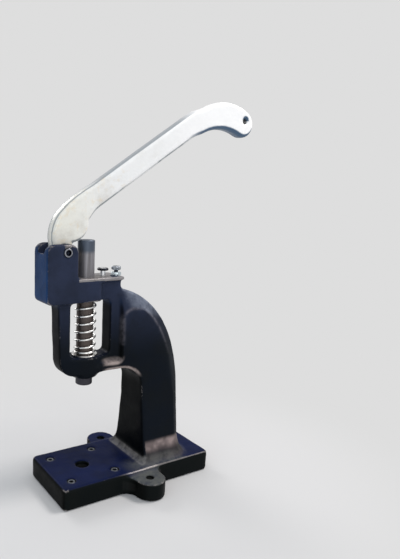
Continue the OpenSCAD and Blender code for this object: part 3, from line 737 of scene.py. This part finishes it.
class Block:
    """Distances on a box of voxels round a solid, as one dense array."""

    def __init__(self, box, voxel, margin=8.0):
        self.voxel = voxel
        self.low = np.floor((box[0] - margin) / voxel).astype(int)
        self.corner = tuple(int(v) for v in self.low)
        high = np.ceil((box[1] + margin) / voxel).astype(int)
        self.count = high - self.low
        axes = [(np.arange(n) + l) * voxel for n, l in zip(self.count, self.low)]
        self.x, self.y, self.z = np.meshgrid(*[a.astype(np.float32) for a in axes],
                                             indexing="ij", sparse=True)

    def read(self, grid):
        values = np.empty(tuple(self.count), np.float32)
        grid.copyToArray(values, ijk=self.corner)
        return values

    def surface(self, values):
        """Quads of the surface where the distance is zero."""
        grid = openvdb.FloatGrid(float(abs(values).max()))
        grid.copyFromArray(values, ijk=self.corner)
        grid.transform = openvdb.createLinearTransform(voxelSize=self.voxel)
        return grid.convertToQuads(isovalue=0.0)

    def sample(self, values, points):
        """Values between voxels, weighted by the distance along each axis."""
        where = points / self.voxel - self.low
        cell = np.clip(np.floor(where).astype(int), 0, self.count - 2)
        part = where - cell
        total = np.zeros(len(points))
        for corner in np.ndindex(2, 2, 2):
            weight = np.prod([part[:, a] if corner[a] else 1 - part[:, a] for a in range(3)], 0)
            i, j, k = (cell[:, a] + corner[a] for a in range(3))
            total += weight * values[i, j, k]
        return total

    def bend(self, values, width=5):
        """Mean distance over a cube of voxels less the distance itself: above zero along outer
        edges, below zero in hollows."""
        mean = values
        for axis in range(3):
            sums = np.cumsum(mean, axis=axis, dtype=np.float64)
            ahead = np.take(sums, range(width, sums.shape[axis]), axis)
            behind = np.take(sums, range(0, sums.shape[axis] - width), axis)
            pad = [(0, 0)] * 3
            pad[axis] = ((width + 1) // 2, width // 2)
            mean = np.pad((ahead - behind) / width, pad, mode="edge").astype(np.float32)
        return mean - values


def fade(amount, width):
    """0 below zero, rising to 1 where the amount is the width."""
    return np.clip(amount / width, 0, 1)


def upright(block, x, y, r, low, high):
    """Distance to an upright cylinder between two heights, negative inside."""
    across = np.hypot(block.x - x, block.y - y) - r
    along = np.maximum(low - block.z, block.z - high)
    return np.maximum(across, along)


def crosswise(block, x, z, r):
    """Distance to a cylinder that runs across the press."""
    return np.hypot(block.x - x, block.z - z) - r


def cuboid(block, low, high):
    """Distance to a box, negative inside."""
    sides = [np.maximum(a - v, v - b) for a, b, v in zip(low, high, (block.x, block.y, block.z))]
    return np.maximum(np.maximum(sides[0], sides[1]), sides[2])


def clamp_screw_places():
    """Centres of the four clamp screws, a square round the die socket."""
    at = SCREWS[1][0] - CLAMP_SCREW_R
    return [(x, y) for x in (-at, at) for y in (-at, at)]


def base_cuts(block, past):
    """Die socket with its bevel, clamp screws and ears, cut past the base's faces."""
    top = BASE_TOP + past
    yield upright(block, 0, 0, DIE_SOCKET_R, -past, top)
    rise = np.maximum(block.z - (BASE_TOP - DIE_SOCKET_BEVEL), 0)
    bevel = np.hypot(block.x, block.y) - DIE_SOCKET_R - rise
    below, above = 4, 3
    yield np.maximum(bevel, np.maximum(BASE_TOP - below - block.z, block.z - BASE_TOP - above))
    under_screw = 2
    for x, y in clamp_screw_places():
        yield upright(block, x, y, CLAMP_SCREW_R + SEAT_CLEARANCE, SCREWS[0][2] - under_screw, top)
    for y in (-EAR_Y, EAR_Y):
        yield upright(block, EAR_X, y, EAR_HOLE_R, -past, top)


def head_cuts(block, past):
    """Bore of the ram, pocket of the collar, pin, slot of the lever and lock screw."""
    ram_r = RAM[1][0] + BORE_CLEARANCE
    yield upright(block, 0, 0, ram_r, BASE_TOP + THROAT_H, SHELF_TOP + past)
    pocket_gap, pocket_below, pocket_above = 1, 12, 0.3
    yield upright(block, 0, 0, COLLAR[1][0] + pocket_gap, COLLAR[0][2] - pocket_below,
                  COLLAR[1][2] + pocket_above)
    yield crosswise(block, PIVOT[0], PIVOT[2], PIN_R + SEAT_CLEARANCE)
    slot_half = LEVER[1][1] + 0.5
    slot_front = PIVOT[0] - LEVER_BOSS_R - LEVER_BOSS_GAP
    slot_top = PIVOT[2] + 30
    under_boss, behind_cheek = 16, 4
    yield cuboid(block, (slot_front, -slot_half, PIVOT[2] - under_boss),
                 (CHEEK_REAR + behind_cheek, slot_half, slot_top))
    mouth, mouth_depth, lap = 20, 1, 2
    yield cuboid(block, (slot_front - mouth, -slot_half, PIVOT[2] - mouth_depth),
                 (slot_front + lap, slot_half, slot_top))
    lock = middle(LOCK)
    yield upright(block, lock[0], lock[1], half_width(LOCK) + SEAT_CLEARANCE, PIVOT[2], slot_top)


def waves(points, amount, seed):
    """Gentle unevenness: the sum of sines along random directions."""
    chance = np.random.default_rng(seed)
    total = np.zeros(len(points))
    count = 14
    shortest, longest = 14, 40
    for _ in range(count):
        direction = chance.normal(size=3)
        direction /= np.linalg.norm(direction)
        length = chance.uniform(shortest, longest)
        total += np.sin(points @ direction * 2 * math.pi / length + chance.uniform(0, 2 * math.pi))
    return amount * total / math.sqrt(count)


def skin_piece(name, block, box, values, wave, seed):
    """The mesh of a block of distances, kept inside a box, with its outer edges and its hollows
    as attributes. Near the ground it stays flat."""
    flat, rising, full_bend = 1.0, 3.0, 0.9
    points, quads = block.surface(values)
    bent = block.sample(block.bend(values), points)
    piece = add_mesh(name, points, [quads[:, ::-1]])
    mesh = piece.data
    out = waves(points, wave, seed) * fade(points[:, 2] - flat, rising)
    moved = np.clip(points + vertex_rows(mesh, "normal") * out[:, None], box[0], box[1])
    mesh.vertices.foreach_set("co", (moved * MM).astype(np.float32).ravel())
    lay(mesh, "edge", fade(bent, full_bend))
    lay(mesh, "hollow", fade(-bent, full_bend))
    mesh.shade_smooth()
    return piece


def arch_lines(x, z):
    """Nearness, from 0 to 1, to the outer edge of the raised cheek. The edge runs down the front,
    round a corner of radius CHEEK_CORNER_R and back along the superellipse
    |x / a|^p + |z / b|^p = 1, whose half axes a and b are shorter than the arch's own by
    CHEEK_INSET. The nearness is exp(-(distance / reach)^2)."""
    reach, front_h = 1.7, 40
    turn = np.linspace(0, math.radians(60), 60)
    share = 2 / ARCH_POWER
    back = np.stack([ARCH_CENTRE_X + (ARCH_REACH - CHEEK_INSET) * np.cos(turn)**share,
                     WAIST_H + (ARCH_RISE - CHEEK_INSET) * np.sin(turn)**share], -1)
    round_off = np.linspace(math.radians(80), math.pi, 30)
    corner = np.stack([CHEEK_FRONT + CHEEK_CORNER_R * (1 + np.cos(round_off)),
                       CHEEK_TOP + CHEEK_CORNER_R * (np.sin(round_off) - 1)], -1)
    lean = np.linspace(0, 1, 20)[:, None]
    front = corner[-1] + lean * (np.array([CHEEK_FRONT, CHEEK_TOP - front_h]) - corner[-1])
    join = back[-1] + np.linspace(0, 1, 12)[:, None] * (corner[0] - back[-1])
    path = np.concatenate([back, join, corner, front])
    away = np.full(len(x), np.inf)
    for px, pz in path:
        away = np.minimum(away, (x - px)**2 + (z - pz)**2)
    return np.exp(-away / reach**2)


def casting():
    """The frame casting: soft inner corners, larger ones on the block below the spring, and
    every machined hole cut again after the softening."""
    points, triangles = node_surface("frame")
    block = Block(CASTING, CAST_VOXEL)
    values = block.read(softened(points, triangles, CAST_VOXEL, CAST_HOLLOW_R, CAST_EDGE_R))
    wide = block.read(softened(points, triangles, CAST_VOXEL, BLOCK_HOLLOW_R, CAST_EDGE_R))
    block_top, block_rear, block_foot = WASHER[0][2] - 3, 40, BASE_TOP + THROAT_H
    share = (fade(block_top - block.z, 8) * fade(block_rear - block.x, 14)
             * fade(block.z - block_foot, 10))
    values = values + (wide - values) * share
    past = 9
    for cuts in (base_cuts, head_cuts):
        for cut in cuts(block, past):
            values = np.maximum(values, -cut)
    piece = skin_piece("casting", block, CASTING, values, CAST_WAVE, 5)
    x, y, z = vertex_rows(piece.data).T / MM
    cheek_side, ridge_start = 12, 150
    # Nearness to the cheek's outer edge, where the painted highlight runs
    ridge = arch_lines(x, z) * (np.abs(y) > cheek_side) * fade(z - ridge_start, 30)
    lay(piece.data, "ridge", ridge)
    return piece


def lever_skin():
    """The lever: the flat bar with rounded edges, its bush bore and hole cut true."""
    points, triangles = node_surface("lever")
    block = Block(LEVER, LEVER_VOXEL)
    values = block.read(softened(points, triangles, LEVER_VOXEL, LEVER_HOLLOW_R, LEVER_EDGE_R))
    bore = half_width(mm_box("lever_bush")) + SEAT_CLEARANCE
    values = np.maximum(values, -crosswise(block, PIVOT[0], PIVOT[2], bore))
    values = np.maximum(values, -crosswise(block, *LEVER_HOLE, LEVER_HOLE_R))
    piece = skin_piece("lever_skin", block, LEVER, values, LEVER_WAVE, 9)
    x, _, z = vertex_rows(piece.data).T / MM
    away = np.hypot(x - LEVER_HOLE[0], z - LEVER_HOLE[1]) - LEVER_HOLE_R
    rim = 0.4
    lay(piece.data, "hole", np.exp(-(np.maximum(away, 0) / rim)**2))
    return piece


def shelf_land():
    """The milled shelf behind the lever. Each ray from the ram's axis carries the same profile:
    up the bore, over its small bevel, out to the edge and down the side. The plan's rear
    corners are rounded."""
    sides = 240
    corner = 3.0
    depth, proud = 2.7, 0.06
    rim_in, rim_down = 0.6, 0.55
    tiny = 1e-6
    angle = np.arange(sides) * 2 * math.pi / sides
    c, s = np.cos(angle), np.sin(angle)
    reach_x = np.where(c > 0, SHELF_REAR, -CHEEK_REAR) / np.maximum(np.abs(c), tiny)
    reach_y = HEAD_HALF / np.maximum(np.abs(s), tiny)
    outer = np.minimum(reach_x, reach_y)
    mid_x, mid_y = SHELF_REAR - corner, HEAD_HALF - corner
    ahead = c * mid_x + np.abs(s) * mid_y
    aside = ahead**2 - (mid_x**2 + mid_y**2 - corner**2)
    round_off = ahead + np.sqrt(np.maximum(aside, 0))
    at_corner = (outer * c > mid_x) & (outer * np.abs(s) > mid_y)
    outer = np.where(at_corner, round_off, outer)
    bore = RAM[1][0] + BORE_CLEARANCE
    rows = [(bore, SHELF_TOP - depth), (bore, SHELF_TOP - SMALL_BEVEL),
            (bore + SMALL_BEVEL, SHELF_TOP + proud), (outer - rim_in, SHELF_TOP + proud),
            (outer, SHELF_TOP - rim_down), (outer, SHELF_TOP - depth)]
    rings = [np.stack([r * c, r * s, np.full(sides, z)], -1) for r, z in rows]
    faces = [ring_faces(len(rings), sides, True)]
    return close_up(add_mesh("shelf_land", np.concatenate(rings), faces), sharp=25)


def spring_wire():
    """Return spring: a round wire on a helix, whose pitch eases from closed end coils to the
    open middle ones. A point of the wire is centre + r cos(a) outward + r sin(a) upward."""
    turns, dead, easing = 9.1, 0.85, 0.5
    wire_r, loose = 1.2, 1.01
    closed = 2 * wire_r * loose
    steps, sides = 64, 14
    low, high = SPRING[0][2] + wire_r, SPRING[1][2] - wire_r
    middle_r = SPRING[1][0] - wire_r
    turn = np.linspace(0, turns, int(turns * steps) + 1)
    ease = fade(np.minimum(turn, turns - turn) - dead, easing)
    ease = ease * ease * (3 - 2 * ease)
    weight = np.trapz(ease, turn)
    pitch = closed + ease * (high - low - closed * turns) / weight
    step = np.diff(turn)
    rise = low + np.concatenate([[0], np.cumsum((pitch[1:] + pitch[:-1]) / 2 * step)])
    angle = 2 * math.pi * turn
    c, s = np.cos(angle), np.sin(angle)
    centre = np.stack([middle_r * c, middle_r * s, rise], -1)
    outward = np.stack([c, s, np.zeros_like(c)], -1)
    upward = np.array([0.0, 0.0, 1.0])
    around = np.arange(sides) * 2 * math.pi / sides
    points = (centre[:, None] + wire_r * (np.cos(around)[None, :, None] * outward[:, None]
              + np.sin(around)[None, :, None] * upward))
    faces = [ring_faces(len(turn), sides)] + end_faces(len(turn), sides)
    return close_up(add_mesh("spring_wire", points.reshape(-1, 3), faces), sharp=60)


def washer():
    """A flat ring with bevelled edges."""
    inner, outer = RAM[1][0] + 0.3, WASHER[1][0]
    low, high = WASHER[0][2], WASHER[1][2]
    bevel = 0.3
    profile = [(inner, low + bevel), (inner + bevel, low), (outer - bevel, low),
               (outer, low + bevel), (outer, high - bevel), (outer - bevel, high),
               (inner + bevel, high), (inner, high - bevel)]
    return turned("washer", profile, (0, 0, 0), closed=True)


def clamp_screws():
    """Four socket screws, sunk a little, each with a bevelled rim and a hexagon socket."""
    r, socket = CLAMP_SCREW_R, 2.25
    rim, mouth, mouth_h = 0.7, 0.55, 0.4
    low, high = SCREWS[0][2], SCREWS[1][2]
    floor_z = high - 7
    profile = [(r - SMALL_BEVEL, low), (r, low + SMALL_BEVEL), (r, high - rim), (r - rim, high),
               (socket + mouth, high), (socket, high - mouth_h, 1), (socket, floor_z, 1),
               (socket * 0.35, floor_z - 1)]
    made = [turned("screw", profile, (x, y, 0), sides=48) for x, y in clamp_screw_places()]
    return joined(made, "socket_screws")


def pivot_pin():
    """The pivot: a rolled rim and a turned hollow at each end."""
    r, hollow, depth, roll = PIN_R, 2.6, 4.0, 0.7
    drill_tip = 0.6
    half = PIN[1][1] - PIVOT[1]
    end = [(hollow * 0.2, half - depth - drill_tip), (hollow, half - depth), (hollow, half - roll)]
    turn = np.linspace(math.pi, 0, 7)
    mid, reach = (hollow + r) / 2, (r - hollow) / 2
    end += [(mid + reach * math.cos(t), half - roll + roll * math.sin(t)) for t in turn]
    profile = end + [(a, -b) for a, b in reversed(end)]
    return turned("pin", profile, PIVOT, axis="Y", sides=64)


def stop_screw():
    """Stop screw: fluted head with a socket above a plain shank."""
    r = half_width(STOP)
    low, top = STOP[0][2], STOP[1][2]
    shank, tip, under_bevel, rim = 2.3, 0.4, 0.5, 0.6
    socket, mouth, socket_h, socket_end = 2.1, 0.4, 2.4, 0.5
    under = top - 4.0
    profile = [(shank - tip, low), (shank, low + tip), (shank, under), (r - under_bevel, under),
               (r, under + under_bevel, 0, 1), (r, top - rim, 0, 1), (r - rim, top),
               (socket + mouth, top), (socket, top - mouth, 1), (socket, top - socket_h, 1),
               (socket_end, top - socket_h - socket_end)]
    return turned("stop", profile, under_middle(STOP), sides=192, knurl=0.03)


def lock_nut():
    """Thin hexagon nut, its corners turned down by a cone at both faces."""
    half = min(NUT[1][0] - NUT[0][0], NUT[1][1] - NUT[0][1]) / 2
    low, high = NUT[0][2], NUT[1][2]
    bore, foot, mouth = 2.32, 0.4, 0.5
    cone, cone_share = 0.55, 0.97
    profile = [(bore + foot, low), (half, low), (half, low + cone, 1), (half, high - cone, 1),
               (half * cone_share, high), (bore + mouth, high), (bore, high - mouth),
               (bore, low + foot)]
    return turned("nut", profile, under_middle(NUT), closed=True)


def oil_plug():
    """Oil plug: a flat disc head over a bright stem."""
    r = half_width(PLUG)
    low, top = PLUG[0][2], PLUG[1][2]
    stem, tip, under_bevel, rim = 3.0, 0.4, 0.7, 0.8
    dimple, dimple_end, dimple_h = 1.6, 1.2, 0.8
    under = top - 2.6
    profile = [(stem - tip, low), (stem, low + tip), (stem, under), (r - under_bevel, under),
               (r, under + under_bevel), (r, top - rim), (r - rim, top), (dimple, top),
               (dimple_end, top - dimple_h)]
    return turned("plug", profile, under_middle(PLUG))


def backdrop():
    """World: a soft sky lights the object, and the camera and mirrors see the grey backdrop."""
    world = bpy.data.worlds.new("studio")
    bpy.context.scene.world = world
    nodes = Nodes(world)
    sky = nodes.shader("ShaderNodeBackground", Color=SKY, Strength=SKY_STRENGTH)
    grey = nodes.shader("ShaderNodeBackground", Color=BACKDROP)
    nodes.mixed(nodes.seen_directly(), sky, grey, "ShaderNodeOutputWorld")


def pale_floor(centre):
    """Lit floor round a centre, which turns into the backdrop's own grey further out."""
    material = bpy.data.materials.new("pale_floor")
    nodes = Nodes(material)
    lit = nodes.shader("ShaderNodeBsdfDiffuse", Color=FLOOR_TONE)
    flat = nodes.shader("ShaderNodeEmission", Color=BACKDROP)
    length = nodes.add("ShaderNodeVectorMath", operation="DISTANCE")
    nodes.put(length.inputs[0], nodes.add("ShaderNodeTexCoord").outputs["Object"])
    nodes.put(length.inputs[1], centre)
    away = nodes.range(length.outputs["Value"], *FLOOR_FADE)
    share = nodes.math("MULTIPLY", away, nodes.seen_directly())
    nodes.mixed(share, lit, flat, "ShaderNodeOutputMaterial")
    return material


def floor():
    """Pale floor that keeps the object's shadow and turns into the backdrop further out."""
    half = FLOOR_SIZE / 2
    x, y = STAGE_CENTRE[0], STAGE_CENTRE[1]
    mesh = bpy.data.meshes.new("floor")
    mesh.from_pydata([(x - half, y - half, 0), (x + half, y - half, 0), (x + half, y + half, 0),
                      (x - half, y + half, 0)], [], [(0, 1, 2, 3)])
    plane = placed("floor", mesh)
    mesh.materials.append(pale_floor((x, y, 0)))


def softbox(name, direction, distance, size, power, tone):
    """Square lamp that looks at the middle of the object from a direction."""
    data = bpy.data.lights.new(name, "AREA")
    data.size, data.energy, data.color = size, power, tone
    lamp = placed(name, data)
    away = Vector(direction).normalized()
    lamp.location = STAGE_CENTRE + away * distance
    lamp.rotation_mode = "QUATERNION"
    lamp.rotation_quaternion = away.to_track_quat("Z", "Y")


def camera():
    """Camera at the photograph's angle, with its roll and its axis off the middle of the frame."""
    az, el, roll = (math.radians(a) for a in (CAMERA_AZIMUTH, CAMERA_ELEVATION, CAMERA_ROLL))
    back = Vector((-math.sin(az) * math.cos(el), -math.cos(az) * math.cos(el), math.sin(el)))
    right = (-back).cross(Vector((0, 0, 1))).normalized()
    up = right.cross(-back)
    across = right * math.cos(roll) + up * math.sin(roll)
    upward = up * math.cos(roll) - right * math.sin(roll)
    data = bpy.data.cameras.new("camera")
    data.sensor_width = SENSOR_WIDTH
    data.lens = SENSOR_WIDTH * FOCAL_PX / IMAGE_PX[1]
    data.shift_x = (IMAGE_PX[0] / 2 - AXIS_PX[0]) / IMAGE_PX[1]
    data.shift_y = (AXIS_PX[1] - IMAGE_PX[1] / 2) / IMAGE_PX[1]
    data.clip_start, data.clip_end = 0.01, 100.0
    eye = placed("camera", data)
    turn = Matrix((across, upward, back)).transposed()
    eye.matrix_world = Matrix.Translation(CAMERA_TARGET + back * CAMERA_DISTANCE) @ turn.to_4x4()
    bpy.context.scene.camera = eye


def stage():
    camera()
    backdrop()
    floor()
    for name, lamp in LAMPS.items():
        softbox(name, *lamp)
    bpy.context.scene.view_settings.view_transform = "Standard"


def main():
    stage()
    enamel = CastEnamel().made()
    milled = machined_iron()
    white = LeverEnamel().made()
    ram_steel = ground_steel()
    wire = bright_steel("spring_wire_steel", (0.84, 0.84, 0.83), 0.20)
    rim = bright_steel("screw_steel", (0.62, 0.61, 0.60), 0.22)
    zinc = bright_steel("zinc_plate", (0.58, 0.66, 0.70), 0.28, 0.25)
    dull = bright_steel("socket_steel", (0.14, 0.15, 0.17), 0.34)
    black = blacked_steel()
    # The pin is dark within 3.3 mm of its axis: painted shade in its hollow ends
    ring = ringed_steel("pin_steel", PIVOT, "XZ", 3.3, (0.010, 0.012, 0.020), (0.30, 0.31, 0.34))
    # The stop screw is dark within 2.6 mm of its axis: painted shade in its socket and on the neck
    # under its head
    stop = ringed_steel("stop_screw_steel", middle(STOP), "XY", 2.6, (0.030, 0.034, 0.045),
                        (0.34, 0.37, 0.41))
    plug = ringed_steel("plug_steel", middle(PLUG), "XY", 3.3, (0.80, 0.82, 0.84),
                        (0.020, 0.022, 0.030))
    bronze = bush_bronze()

    dress(casting(), "frame", enamel, "frame")
    dress(shelf_land(), "frame", milled)
    dress(lever_skin(), "lever", white, "lever")
    spring = dress(spring_wire(), "frame", wire, "return_spring")
    for make, material, node in ((washer, rim, "seat_washer"), (clamp_screws, dull, "clamp_screws"),
                                 (pivot_pin, ring, "pivot_pin"), (stop_screw, stop, "stop_screw"),
                                 (lock_nut, zinc, "stop_lock_nut"), (oil_plug, plug, "oil_plug")):
        dress(make(), "frame", material, node)
    for node, material in (("ram", ram_steel), ("nose_screw", black), ("spring_collar", black),
                           ("collar_pin", rim), ("lever_bush", bronze),
                           ("pivot_lock_screw", black)):
        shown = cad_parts[node]
        shown.data.materials.clear()
        shown.data.materials.append(material)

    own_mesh(spring)


main()
